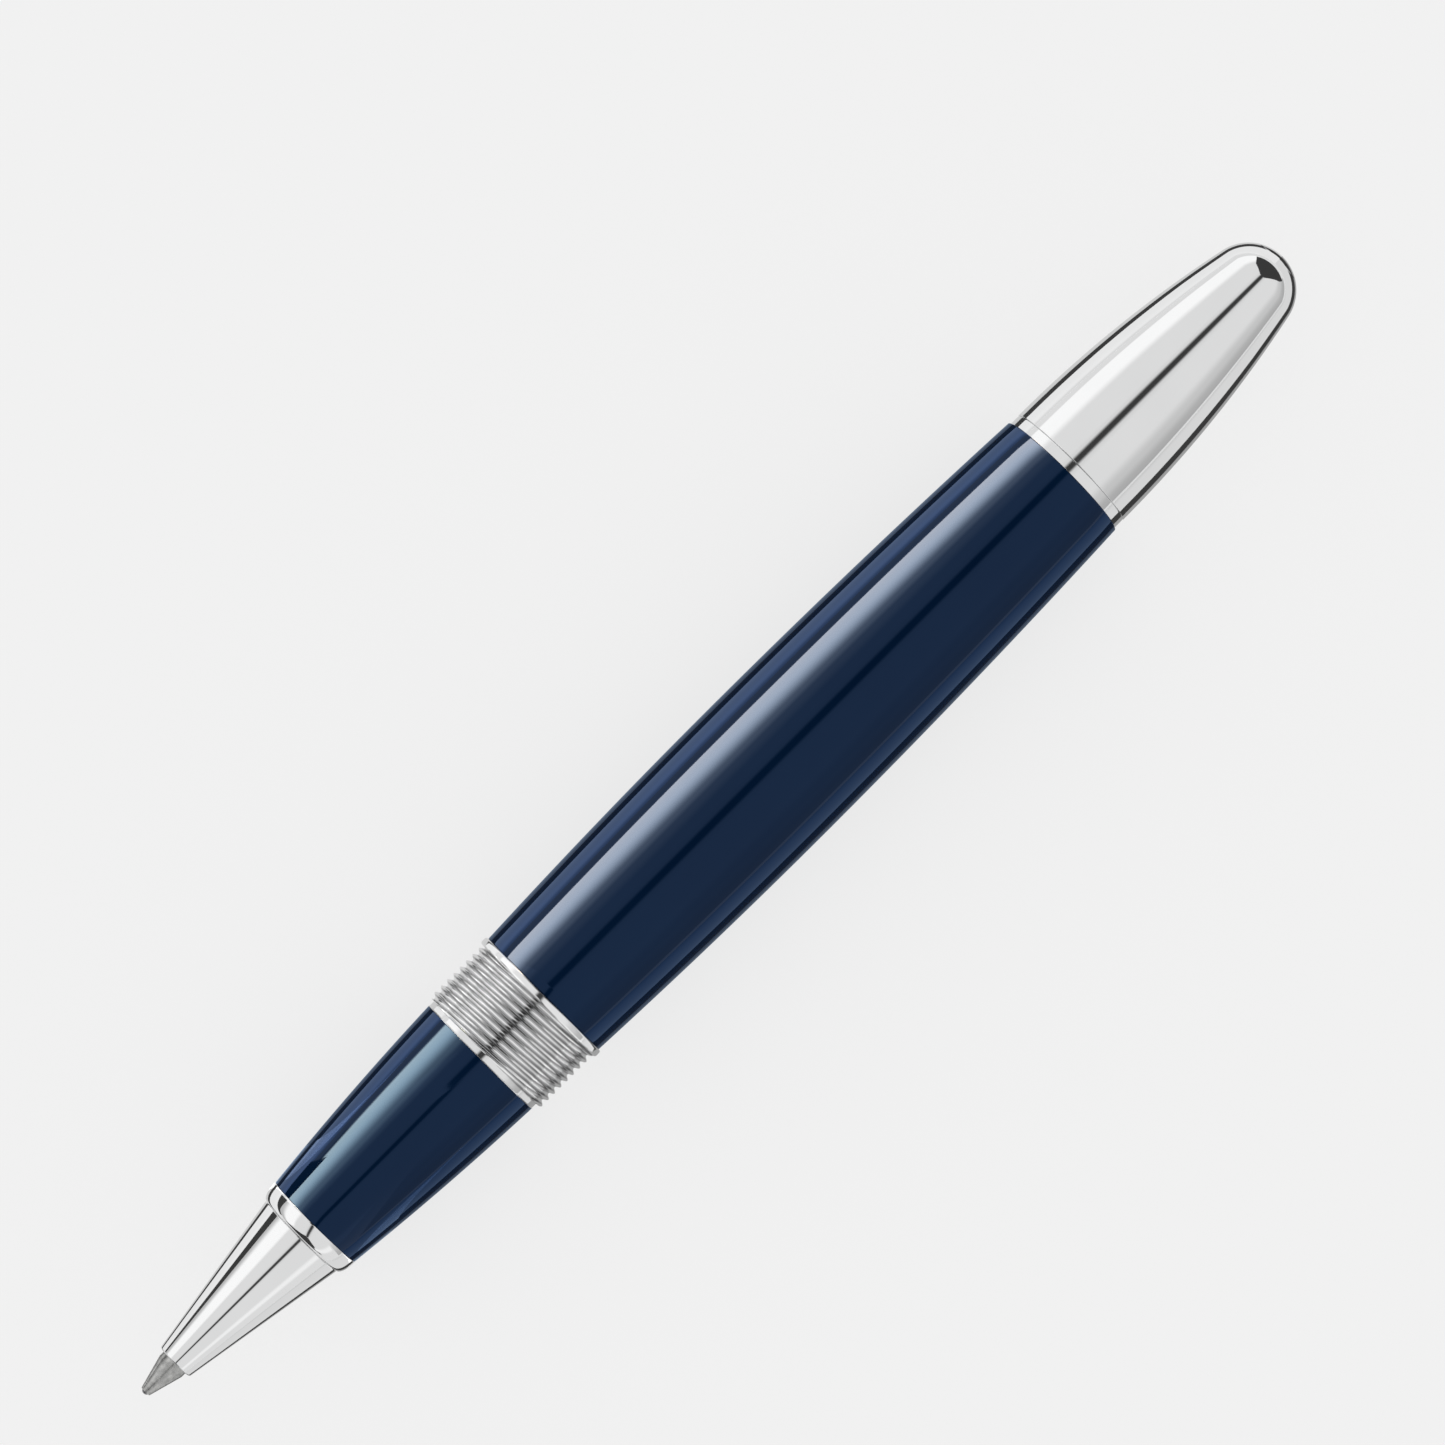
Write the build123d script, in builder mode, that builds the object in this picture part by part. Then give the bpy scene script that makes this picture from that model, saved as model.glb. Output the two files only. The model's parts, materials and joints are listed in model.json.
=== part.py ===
from build123d import *
from math import asin, cos, degrees, radians, sin, sqrt
import os

# An uncapped rollerball pen lying on its side, in millimetres.
# Every piece is turned about one axis. A place on the pen is its station, measured along that axis
# from the front of the writing ball towards the tail, and its radius, measured from the axis.

# ---- Driving dimensions: lengths that show, from the writing tip to the tail ----
tip_stand_out = 3.56            # refill tip in front of the nose cone
nose_length = 14.31
front_ring_length = 1.55
grip_length = 18.73
thread_ring_length = 6.50       # lip and cap thread, up to the mouth ring
mouth_ring_length = 0.70
barrel_length = 59.15
tail_ring_length = 1.00
tail_length = 24.30

# ---- Driving dimensions: refill ----
refill_tube_radius = 3.00
refill_tube_wall = 0.35
tip_radius = 1.235
tip_rim_radius = 0.45
tip_rim_place = 0.22            # from the ball's front to the crimped rim
tip_cone_end = 3.08             # from the ball's front to the end of the taper
tip_body_end = 4.90
tip_shank_wall = 0.285          # by how much the shank is thinner than the tip's body
tip_shank_length = 2.30
ball_radius = 0.35
ink_hole_radius = 0.15
ink_hole_length = 1.40
feed_rod_radius = 0.45
feed_rod_reach = 7.50           # into the ink reservoir
holder_nose_gap = 0.25          # between the tip holder and the nose cone's bore
holder_flange_length = 1.40
holder_spigot_length = 4.00
plug_spigot_length = 2.10
plug_cap_length = 1.20
plug_cap_step = 0.15            # by how much the plug's cap is smaller than the tube
follower_disc_step = 0.10       # by how much the follower's disc is larger than the tube
follower_disc_length = 0.80
follower_stem_length = 2.70
spring_length = 8.70
spring_wire_radius = 0.20
spring_disc_step = 0.75         # from the disc's edge in to the middle of the spring's wire
spring_stem_gap = 0.40          # between the spring and the follower's stem
spring_turns = 6.5
spring_end_gap = 0.05           # beyond each end of the spring

# ---- Driving dimensions: fits and edges ----
glued_gap = 0.03                # radial gap where pieces are glued, pressed or soldered
thread_gap = 0.05               # radial gap of threads drawn as plain cylinders
sliding_gap = 0.10              # radial gap round the refill
ball_gap = 0.015                # between the writing ball and its socket
seam_break = 0.06               # small bevel on every edge that shows at a seam
soft_edge = 0.40                # larger rounding of the barrel's rear edge

# ---- Driving dimensions: section, from the inside out ----
nose_front_wall = 0.355         # round the hole that the refill tip comes out of
nose_throat_length = 2.50       # straight hole that guides the refill tip
nose_seat_width = 0.60          # ring on the spigot's end that the refill's flange rests on
nose_side_wall = 0.55           # beside the tapered part of the nose cone's bore
nose_shoulder = 0.45            # step from the spigot out to the nose cone's rear edge
nose_spigot_length = 5.75
liner_side_wall = 0.85          # grip liner beside the refill
liner_spigot_wall = 0.35        # grip liner round the nose cone's spigot
section_thread_step = 0.55      # from the liner's side out to the section's thread
section_thread_length = 6.60
seal_wire_radius = 0.40         # thickness of the O-ring
seal_room = 1.35                # from the grip's rear face to the section's thread
seal_groove_depth = 0.10
front_ring_swell = 0.54         # from the nose cone's rear edge out to the front ring's top
grip_front_wall = 0.52
grip_rear_wall = 1.88
grip_swell = 0.165              # how far the grip's side bows out from a straight taper

# ---- Driving dimensions: cap thread and barrel, from the inside out ----
sleeve_wall = 0.64              # cap thread ring's sleeve inside the barrel
sleeve_length = 5.90
lip_step = 0.07                 # from the grip's rear edge out to the lip
lip_length = 0.65               # smooth lead-in in front of the ridges
cap_thread_root_wall = 0.76     # from the sleeve out to the foot of the cap thread
cap_thread_depth = 0.36
cap_thread_pitch = 0.716        # from one ridge to the next
cap_thread_crest = 0.16         # width of each ridge's flat top
cap_thread_foot = 0.50          # width of each ridge at its root
mouth_ring_step = 0.21          # from the thread's crests out to the mouth ring's top
liner_mouth_wall = 0.28         # barrel liner round the sleeve
barrel_liner_wall = 0.70
barrel_front_wall = 0.77
barrel_belly_wall = 1.34
barrel_belly_place = 25.5       # from the barrel's mouth to its widest place
barrel_rear_wall = 0.59
tail_ring_step = 0.44           # from the barrel liner out to the tail ring's top

# ---- Driving dimensions: tail ----
core_thread_length = 6.50       # tail core inside the barrel liner
core_collar_step = 0.61         # from the core's thread out to its collar
core_collar_length = 3.60       # inside the tail cone's mouth
core_tube_wall = 0.58
core_end_wall = 1.00
core_end_gap = 0.23             # between the core's closed end and the tail cone's inside
tail_mouth_wall = 0.59          # tail cone round the core's collar
tail_wall = 0.80
tail_dome_step = 0.02           # from the core's tube out to the radius of the round end

# ---- Stations where each piece that shows begins ----
nose_at = tip_stand_out
front_ring_at = nose_at + nose_length
grip_at = front_ring_at + front_ring_length
thread_ring_at = grip_at + grip_length
mouth_ring_at = thread_ring_at + thread_ring_length
barrel_at = mouth_ring_at + mouth_ring_length
tail_ring_at = barrel_at + barrel_length
tail_at = tail_ring_at + tail_ring_length
pen_end = tail_at + tail_length

# ---- Radii of the refill, and of the holes that it passes through ----
throat_radius = tip_radius + thread_gap
refill_bore = refill_tube_radius + sliding_gap
refill_tube_bore = refill_tube_radius - refill_tube_wall
rod_hole_radius = feed_rod_radius + thread_gap
follower_disc_radius = refill_tube_radius + follower_disc_step
follower_bore = follower_disc_radius + 2 * sliding_gap
spring_coil_radius = follower_disc_radius - spring_disc_step

# ---- Radii of the section ----
grip_liner_radius = refill_bore + liner_side_wall
spigot_bore = grip_liner_radius - liner_spigot_wall
spigot_radius = spigot_bore - thread_gap
nose_bore_radius = refill_tube_radius - nose_seat_width
nose_front_radius = throat_radius + nose_front_wall
nose_rear_radius = spigot_radius + nose_shoulder
front_ring_radius = nose_rear_radius + front_ring_swell
grip_bore = grip_liner_radius + glued_gap
grip_front_radius = grip_bore + grip_front_wall
grip_rear_radius = grip_bore + grip_rear_wall
section_thread_radius = grip_liner_radius + section_thread_step

# ---- Radii of the cap thread and the barrel ----
section_thread_bore = section_thread_radius + thread_gap
sleeve_radius = section_thread_bore + sleeve_wall
sleeve_bore = sleeve_radius + glued_gap
lip_radius = grip_rear_radius + lip_step
thread_root_radius = sleeve_radius + cap_thread_root_wall
cap_thread_radius = thread_root_radius + cap_thread_depth
mouth_ring_radius = cap_thread_radius + mouth_ring_step
barrel_liner_radius = sleeve_bore + liner_mouth_wall
barrel_liner_bore = barrel_liner_radius - barrel_liner_wall
barrel_bore = barrel_liner_radius + glued_gap
barrel_front_radius = barrel_bore + barrel_front_wall
barrel_belly_radius = barrel_bore + barrel_belly_wall
barrel_rear_radius = barrel_bore + barrel_rear_wall
tail_ring_radius = barrel_liner_radius + tail_ring_step

# ---- Radii of the tail ----
core_radius = barrel_liner_bore - thread_gap
core_collar_radius = core_radius + core_collar_step
core_tube_radius = follower_bore + core_tube_wall
collar_bore = core_collar_radius + glued_gap
tail_front_radius = collar_bore + tail_mouth_wall
tail_dome_radius = core_tube_radius + tail_dome_step
widest_radius = max(barrel_belly_radius, mouth_ring_radius, tail_front_radius)

# The tail cone's side is a long arc that leaves the tail ring along the pen and runs smoothly into
# the round end. The side's centre lies (side_radius - tail_front_radius) past the axis and the round
# end's centre lies on it, (side_radius - tail_dome_radius) apart, which gives side_radius.
dome_at = pen_end - tail_dome_radius
dome_run = dome_at - tail_at
side_radius = (dome_run**2 + tail_front_radius**2 - tail_dome_radius**2) / (
    2 * (tail_front_radius - tail_dome_radius)
)
side_centre = (tail_at, tail_front_radius - side_radius)
side_turn = asin(dome_run / (side_radius - tail_dome_radius))
inner_side_radius = side_radius - tail_wall

# ---- Stations of the pieces inside, with the core's end as far back as the tail cone lets it ----
refill_seat_at = front_ring_at + nose_spigot_length
section_thread_at = thread_ring_at + seal_room
core_end_reach = core_tube_radius + core_end_gap - side_centre[1]
core_end = tail_at + sqrt(inner_side_radius**2 - core_end_reach**2)
spring_seat_at = core_end - core_end_wall
follower_end = spring_seat_at - spring_length
follower_at = follower_end - follower_disc_length
refill_tube_at = refill_seat_at + holder_flange_length
refill_tube_end = follower_at - plug_cap_length
reservoir_at = refill_tube_at + holder_spigot_length
reservoir_end = refill_tube_end - plug_spigot_length

# The pen lies along X with its tip at -X, and its widest place rests on Z = 0.
pen_plane = Plane(origin=(-pen_end / 2, 0, widest_radius), x_dir=(1, 0, 0), z_dir=(0, -1, 0))
pen_axis = Axis(pen_plane.origin, (1, 0, 0))


def on_axis(station):
    """The point of the pen's axis at a station."""
    return pen_plane.origin + Vector(station, 0, 0)


def rims(piece, station, *radii):
    """The circular edges of a piece that lie at a station and have one of these radii."""
    circles = piece.edges().filter_by(GeomType.CIRCLE)
    level = circles.filter_by(lambda edge: abs(edge.arc_center.X - on_axis(station).X) < 0.001)
    return level.filter_by(lambda edge: min(abs(edge.radius - radius) for radius in radii) < 0.001)


def save(piece, name):
    """Labels a finished piece and writes its STEP file."""
    piece.part.label = name
    export_step(piece.part, f"parts/{name}.step")


os.makedirs("parts", exist_ok=True)

# ==== Refill ====

# Writing ball: rolls in the socket at the tip.
with BuildPart() as writing_ball:
    with Locations(on_axis(ball_radius)):
        Sphere(ball_radius)
save(writing_ball, "writing_ball")

# Refill tip: tapered metal point, crimped round the ball, with its ink hole and feed rod hole.
socket_radius = ball_radius + ball_gap
socket_mouth_radius = sqrt(socket_radius**2 - (ball_radius - tip_rim_place) ** 2)
ink_hole_at = ball_radius + sqrt(socket_radius**2 - ink_hole_radius**2)
ink_hole_end = ink_hole_at + ink_hole_length
tip_end = tip_body_end + tip_shank_length
tip_shank_radius = tip_radius - tip_shank_wall
socket_middle = radians(80)
with BuildPart() as refill_tip:
    with BuildSketch(pen_plane):
        with BuildLine():
            Polyline(
                (ink_hole_at, ink_hole_radius),
                (ink_hole_end, ink_hole_radius),
                (ink_hole_end, rod_hole_radius),
                (tip_end, rod_hole_radius),
                (tip_end, tip_shank_radius),
                (tip_body_end, tip_shank_radius),
                (tip_body_end, tip_radius),
                (tip_cone_end, tip_radius),
                (tip_rim_place, tip_rim_radius),
                (tip_rim_place, socket_mouth_radius),
            )
            ThreePointArc(
                (tip_rim_place, socket_mouth_radius),
                (ball_radius + socket_radius * cos(socket_middle), socket_radius * sin(socket_middle)),
                (ink_hole_at, ink_hole_radius),
            )
        make_face()
    revolve(axis=pen_axis)
save(refill_tip, "refill_tip")

# Feed rod: fibre rod with a pointed front, which carries ink from the reservoir to the ball.
feed_rod_end = reservoir_at + feed_rod_reach
with BuildPart() as feed_rod:
    with BuildSketch(pen_plane):
        with BuildLine():
            Polyline(
                (ink_hole_end, 0),
                (feed_rod_end, 0),
                (feed_rod_end, feed_rod_radius),
                (ink_hole_end + feed_rod_radius, feed_rod_radius),
                close=True,
            )
        make_face()
    revolve(axis=pen_axis)
save(feed_rod, "feed_rod")

# Tip holder: plastic nose of the refill, with the flange that seats behind the nose cone.
nose_slope = (nose_rear_radius - nose_front_radius) / nose_length
throat_end = nose_at + nose_throat_length
bore_taper_end = nose_at + (nose_bore_radius + nose_side_wall - nose_front_radius) / nose_slope
shank_hole_radius = tip_shank_radius + glued_gap
with BuildPart() as tip_holder:
    with BuildSketch(pen_plane):
        with BuildLine():
            Polyline(
                (tip_body_end, shank_hole_radius),
                (tip_end, shank_hole_radius),
                (tip_end, rod_hole_radius),
                (reservoir_at, rod_hole_radius),
                (reservoir_at, refill_tube_bore - glued_gap),
                (refill_tube_at, refill_tube_bore - glued_gap),
                (refill_tube_at, refill_tube_radius),
                (refill_seat_at, refill_tube_radius),
                (refill_seat_at, nose_bore_radius - holder_nose_gap),
                (bore_taper_end, nose_bore_radius - holder_nose_gap),
                (throat_end, tip_radius),
                (tip_body_end, tip_radius),
                close=True,
            )
        make_face()
    revolve(axis=pen_axis)
save(tip_holder, "tip_holder")

# Refill tube: thin metal tube round the reservoir.
with BuildPart() as refill_tube:
    with BuildSketch(Plane(origin=on_axis(refill_tube_at), z_dir=(1, 0, 0))):
        Circle(refill_tube_radius)
        Circle(refill_tube_bore, mode=Mode.SUBTRACT)
    extrude(amount=refill_tube_end - refill_tube_at)
save(refill_tube, "refill_tube")

# Ink reservoir: fibre core that fills the tube, with a blind hole for the feed rod.
with BuildPart() as ink_reservoir:
    with BuildSketch(pen_plane):
        with BuildLine():
            Polyline(
                (reservoir_at, rod_hole_radius),
                (feed_rod_end, rod_hole_radius),
                (feed_rod_end, 0),
                (reservoir_end, 0),
                (reservoir_end, refill_tube_bore - glued_gap),
                (reservoir_at, refill_tube_bore - glued_gap),
                close=True,
            )
        make_face()
    revolve(axis=pen_axis)
save(ink_reservoir, "ink_reservoir")

# Refill end plug: closes the tube behind the reservoir.
with BuildPart() as refill_end_plug:
    with BuildSketch(Plane(origin=on_axis(reservoir_end), z_dir=(1, 0, 0))):
        Circle(refill_tube_bore - glued_gap)
    extrude(amount=plug_spigot_length)
    with BuildSketch(Plane(origin=on_axis(refill_tube_end), z_dir=(1, 0, 0))):
        Circle(refill_tube_radius - plug_cap_step)
    extrude(amount=plug_cap_length)
save(refill_end_plug, "refill_end_plug")

# Refill follower: disc that the refill's rear end rests on, with a stem inside the spring.
stem_radius = spring_coil_radius - spring_wire_radius - spring_stem_gap
stem_end = follower_end + follower_stem_length
with BuildPart() as refill_follower:
    with BuildSketch(Plane(origin=on_axis(follower_at), z_dir=(1, 0, 0))):
        Circle(follower_disc_radius)
    extrude(amount=follower_disc_length)
    with BuildSketch(Plane(origin=on_axis(follower_end), z_dir=(1, 0, 0))):
        Circle(stem_radius)
    extrude(amount=follower_stem_length)
    chamfer(rims(refill_follower, stem_end, stem_radius), seam_break)
save(refill_follower, "refill_follower")

# ==== Section: everything that unscrews from the barrel's mouth ====

# Nose cone: plated cone with its bore for the refill's nose and its threaded spigot behind.
with BuildPart() as nose_cone:
    with BuildSketch(pen_plane):
        with BuildLine():
            Polyline(
                (nose_at, throat_radius),
                (throat_end, throat_radius),
                (bore_taper_end, nose_bore_radius),
                (refill_seat_at, nose_bore_radius),
                (refill_seat_at, spigot_radius),
                (front_ring_at, spigot_radius),
                (front_ring_at, nose_rear_radius),
                (nose_at, nose_front_radius),
                close=True,
            )
        make_face()
    revolve(axis=pen_axis)
    fillet(rims(nose_cone, nose_at, nose_front_radius), (nose_front_radius - throat_radius) / 2)
    chamfer(rims(nose_cone, front_ring_at, nose_rear_radius), seam_break)
save(nose_cone, "nose_cone")

# Front ring: domed ring clamped between the nose cone and the grip.
with BuildPart() as front_ring:
    with BuildSketch(pen_plane):
        with BuildLine():
            Polyline(
                (front_ring_at, nose_rear_radius),
                (front_ring_at, spigot_radius + glued_gap),
                (grip_at, spigot_radius + glued_gap),
                (grip_at, front_ring_radius),
            )
            EllipticalCenterArc(
                (grip_at, nose_rear_radius),
                front_ring_length,
                front_ring_radius - nose_rear_radius,
                start_angle=90,
                arc_size=90,
            )
        make_face()
    revolve(axis=pen_axis)
save(front_ring, "front_ring")

# Grip: lacquered sleeve under the fingers, its side slightly bowed.
with BuildPart() as grip:
    with BuildSketch(pen_plane):
        with BuildLine():
            Polyline(
                (grip_at, grip_front_radius),
                (grip_at, grip_bore),
                (thread_ring_at, grip_bore),
                (thread_ring_at, grip_rear_radius),
            )
            ThreePointArc(
                (thread_ring_at, grip_rear_radius),
                (grip_at + grip_length / 2, (grip_front_radius + grip_rear_radius) / 2 + grip_swell),
                (grip_at, grip_front_radius),
            )
        make_face()
    revolve(axis=pen_axis)
    chamfer(rims(grip, grip_at, grip_front_radius), seam_break)
    chamfer(rims(grip, thread_ring_at, grip_rear_radius), seam_break)
save(grip, "grip")

# Grip liner: brass tube that holds the nose cone in front and screws into the barrel's mouth.
spigot_bore_end = refill_seat_at + sliding_gap
seal_groove_radius = grip_liner_radius - seal_groove_depth
section_thread_end = section_thread_at + section_thread_length
with BuildPart() as grip_liner:
    with BuildSketch(pen_plane):
        with BuildLine():
            Polyline(
                (grip_at, spigot_bore),
                (spigot_bore_end, spigot_bore),
                (spigot_bore_end, refill_bore),
                (section_thread_end, refill_bore),
                (section_thread_end, section_thread_radius),
                (section_thread_at, section_thread_radius),
                (section_thread_at, seal_groove_radius),
                (thread_ring_at, seal_groove_radius),
                (thread_ring_at, grip_liner_radius),
                (grip_at, grip_liner_radius),
                close=True,
            )
        make_face()
    revolve(axis=pen_axis)
    chamfer(rims(grip_liner, section_thread_end, section_thread_radius), 2 * seam_break)
save(grip_liner, "grip_liner")

# Section seal: rubber O-ring in the liner's groove, which keeps the section from working loose.
seal_ring_radius = seal_groove_radius + thread_gap + seal_wire_radius
with BuildPart() as section_seal:
    with BuildSketch(pen_plane):
        with Locations((thread_ring_at + seal_room / 2, seal_ring_radius)):
            Circle(seal_wire_radius)
    revolve(axis=pen_axis)
save(section_seal, "section_seal")

# ==== Barrel ====

# Cap thread ring: plated ring with the cap's thread outside and the section's thread inside.
seal_seat_radius = seal_ring_radius + seal_wire_radius + sliding_gap
sleeve_end = mouth_ring_at + sleeve_length
first_ridge = thread_ring_at + lip_length + cap_thread_foot / 2
ridge_room = mouth_ring_at - cap_thread_foot - first_ridge
ridge_count = int(ridge_room / cap_thread_pitch) + 1
with BuildPart() as cap_thread_ring:
    with BuildSketch(pen_plane):
        with BuildLine():
            Polyline(
                (thread_ring_at, seal_seat_radius),
                (section_thread_at, seal_seat_radius),
                (section_thread_at, section_thread_bore),
                (sleeve_end, section_thread_bore),
                (sleeve_end, sleeve_radius),
                (mouth_ring_at, sleeve_radius),
                (mouth_ring_at, thread_root_radius),
                (thread_ring_at + lip_length, thread_root_radius),
                (thread_ring_at + lip_length, lip_radius),
                (thread_ring_at, lip_radius),
                close=True,
            )
        make_face()
        for ridge in range(ridge_count):
            ridge_middle = first_ridge + ridge * cap_thread_pitch
            with BuildLine():
                Polyline(
                    (ridge_middle - cap_thread_foot / 2, thread_root_radius - seam_break),
                    (ridge_middle - cap_thread_foot / 2, thread_root_radius),
                    (ridge_middle - cap_thread_crest / 2, cap_thread_radius),
                    (ridge_middle + cap_thread_crest / 2, cap_thread_radius),
                    (ridge_middle + cap_thread_foot / 2, thread_root_radius),
                    (ridge_middle + cap_thread_foot / 2, thread_root_radius - seam_break),
                    close=True,
                )
            make_face()
    revolve(axis=pen_axis)
    chamfer(rims(cap_thread_ring, thread_ring_at, lip_radius), seam_break)
save(cap_thread_ring, "cap_thread_ring")

# Mouth ring: rounded flange between the cap thread and the barrel, where the cap stops.
ring_rounding = min(0.45 * mouth_ring_length, mouth_ring_radius - cap_thread_radius)
with BuildPart() as mouth_ring:
    with BuildSketch(Plane(origin=on_axis(mouth_ring_at), z_dir=(1, 0, 0))):
        Circle(mouth_ring_radius)
        Circle(sleeve_bore, mode=Mode.SUBTRACT)
    extrude(amount=mouth_ring_length)
    fillet(rims(mouth_ring, mouth_ring_at, mouth_ring_radius), ring_rounding)
    fillet(rims(mouth_ring, barrel_at, mouth_ring_radius), ring_rounding)
save(mouth_ring, "mouth_ring")

# Barrel: lacquered shell whose side is two arcs that meet level at the belly.
belly_at = barrel_at + barrel_belly_place
rear_rounding = min(soft_edge, barrel_rear_wall * 0.7)
with BuildPart() as barrel:
    with BuildSketch(pen_plane):
        with BuildLine():
            Polyline(
                (barrel_at, barrel_front_radius),
                (barrel_at, barrel_bore),
                (tail_ring_at, barrel_bore),
                (tail_ring_at, barrel_rear_radius),
            )
            TangentArc(
                (belly_at, barrel_belly_radius), (barrel_at, barrel_front_radius), tangent=(-1, 0)
            )
            TangentArc(
                (belly_at, barrel_belly_radius), (tail_ring_at, barrel_rear_radius), tangent=(1, 0)
            )
        make_face()
    revolve(axis=pen_axis)
    chamfer(rims(barrel, barrel_at, barrel_front_radius), seam_break)
    fillet(rims(barrel, tail_ring_at, barrel_rear_radius), rear_rounding)
save(barrel, "barrel")

# Barrel liner: brass tube inside the barrel, counterbored for the cap thread ring's sleeve.
counterbore_end = sleeve_end + sliding_gap
with BuildPart() as barrel_liner:
    with BuildSketch(pen_plane):
        with BuildLine():
            Polyline(
                (barrel_at, sleeve_bore),
                (counterbore_end, sleeve_bore),
                (counterbore_end, barrel_liner_bore),
                (tail_ring_at, barrel_liner_bore),
                (tail_ring_at, barrel_liner_radius),
                (barrel_at, barrel_liner_radius),
                close=True,
            )
        make_face()
    revolve(axis=pen_axis)
save(barrel_liner, "barrel_liner")

# Tail ring: plated ring clamped between the barrel and the tail cone.
with BuildPart() as tail_ring:
    with BuildSketch(Plane(origin=on_axis(tail_ring_at), z_dir=(1, 0, 0))):
        Circle(tail_ring_radius)
        Circle(core_radius + glued_gap, mode=Mode.SUBTRACT)
    extrude(amount=tail_ring_length)
    chamfer(rims(tail_ring, tail_ring_at, tail_ring_radius), seam_break)
    chamfer(rims(tail_ring, tail_at, tail_ring_radius), seam_break)
save(tail_ring, "tail_ring")

# Tail core: brass cup that screws into the barrel liner, carries the tail cone and holds the spring.
core_at = tail_ring_at - core_thread_length
collar_end = tail_at + core_collar_length
with BuildPart() as tail_core:
    with BuildSketch(pen_plane):
        with BuildLine():
            Polyline(
                (core_at, follower_bore),
                (spring_seat_at, follower_bore),
                (spring_seat_at, 0),
                (core_end, 0),
                (core_end, core_tube_radius),
                (collar_end, core_tube_radius),
                (collar_end, core_collar_radius),
                (tail_at, core_collar_radius),
                (tail_at, core_radius),
                (core_at, core_radius),
                close=True,
            )
        make_face()
    revolve(axis=pen_axis)
save(tail_core, "tail_core")

# Tail cone: hollow plated bullet with a step inside its mouth for the core's collar.
collar_turn = asin(core_collar_length / inner_side_radius)
collar_step = side_centre[1] + inner_side_radius * cos(collar_turn)
dome_turn = 90 - degrees(side_turn)
with BuildPart() as tail_cone:
    with BuildSketch(pen_plane):
        with BuildLine():
            CenterArc(side_centre, side_radius, start_angle=90, arc_size=-degrees(side_turn))
            CenterArc((dome_at, 0), tail_dome_radius, start_angle=0, arc_size=dome_turn)
            Line((pen_end, 0), (pen_end - tail_wall, 0))
            CenterArc((dome_at, 0), tail_dome_radius - tail_wall, start_angle=0, arc_size=dome_turn)
            CenterArc(
                side_centre,
                inner_side_radius,
                start_angle=dome_turn,
                arc_size=degrees(side_turn - collar_turn),
            )
            Polyline(
                (collar_end, collar_step),
                (collar_end, collar_bore),
                (tail_at, collar_bore),
                (tail_at, tail_front_radius),
            )
        make_face()
    revolve(axis=pen_axis)
    chamfer(rims(tail_cone, tail_at, tail_front_radius), seam_break)
save(tail_cone, "tail_cone")

# Refill spring: coil between the follower and the closed end of the tail core.
coil_length = spring_length - 2 * (spring_wire_radius + spring_end_gap)
coil_at = follower_end + spring_wire_radius + spring_end_gap
with BuildPart() as refill_spring:
    with BuildLine():
        coil = Helix(
            pitch=coil_length / spring_turns,
            height=coil_length,
            radius=spring_coil_radius,
            center=on_axis(coil_at),
            direction=(1, 0, 0),
        )
    with BuildSketch(Plane(origin=coil @ 0, z_dir=coil % 0)):
        Circle(spring_wire_radius)
    sweep(path=coil, is_frenet=True)
save(refill_spring, "refill_spring")
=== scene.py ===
import functools
import json
import math

import bpy
import numpy as np
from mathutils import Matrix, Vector

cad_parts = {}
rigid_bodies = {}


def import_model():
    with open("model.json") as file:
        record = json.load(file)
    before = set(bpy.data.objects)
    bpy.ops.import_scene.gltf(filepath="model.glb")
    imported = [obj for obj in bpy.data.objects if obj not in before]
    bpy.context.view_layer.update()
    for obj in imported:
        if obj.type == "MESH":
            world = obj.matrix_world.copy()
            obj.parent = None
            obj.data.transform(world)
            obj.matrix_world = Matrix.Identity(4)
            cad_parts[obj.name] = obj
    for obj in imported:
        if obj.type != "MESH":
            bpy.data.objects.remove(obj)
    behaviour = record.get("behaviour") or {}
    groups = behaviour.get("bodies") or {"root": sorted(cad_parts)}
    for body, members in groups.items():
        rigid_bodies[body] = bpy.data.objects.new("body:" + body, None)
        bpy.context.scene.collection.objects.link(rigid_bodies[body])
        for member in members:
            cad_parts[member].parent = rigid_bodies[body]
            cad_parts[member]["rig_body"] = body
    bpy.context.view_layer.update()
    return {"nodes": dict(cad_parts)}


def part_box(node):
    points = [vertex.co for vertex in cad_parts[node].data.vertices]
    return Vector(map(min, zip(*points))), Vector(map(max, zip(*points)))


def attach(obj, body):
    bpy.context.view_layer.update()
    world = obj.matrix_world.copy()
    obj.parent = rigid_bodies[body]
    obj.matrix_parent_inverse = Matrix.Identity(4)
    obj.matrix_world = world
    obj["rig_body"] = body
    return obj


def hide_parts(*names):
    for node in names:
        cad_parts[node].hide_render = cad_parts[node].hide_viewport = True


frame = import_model()

# A rollerball pen lying on a pale floor, in metres. Its pieces are turned about the pen's axis and its
# threads are wound round it, so each shape starts as an outline of points (station along X, radius from
# the axis).

MM = 0.001
AXIS_Z = (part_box("barrel")[0].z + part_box("barrel")[1].z) / 2
TIP_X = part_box("writing_ball")[0].x

ROUND_STEPS = 192          # faces round each piece
BALL_STEPS = 64            # faces round the writing ball
CORNER_STEPS = 4           # faces round a broken corner
CURVE_STEPS = 48           # faces along a bowed side
THREAD_STEPS = 12          # faces across one ridge of a thread
THREAD_TURN_STEPS = 144    # faces round one turn of a thread

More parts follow.
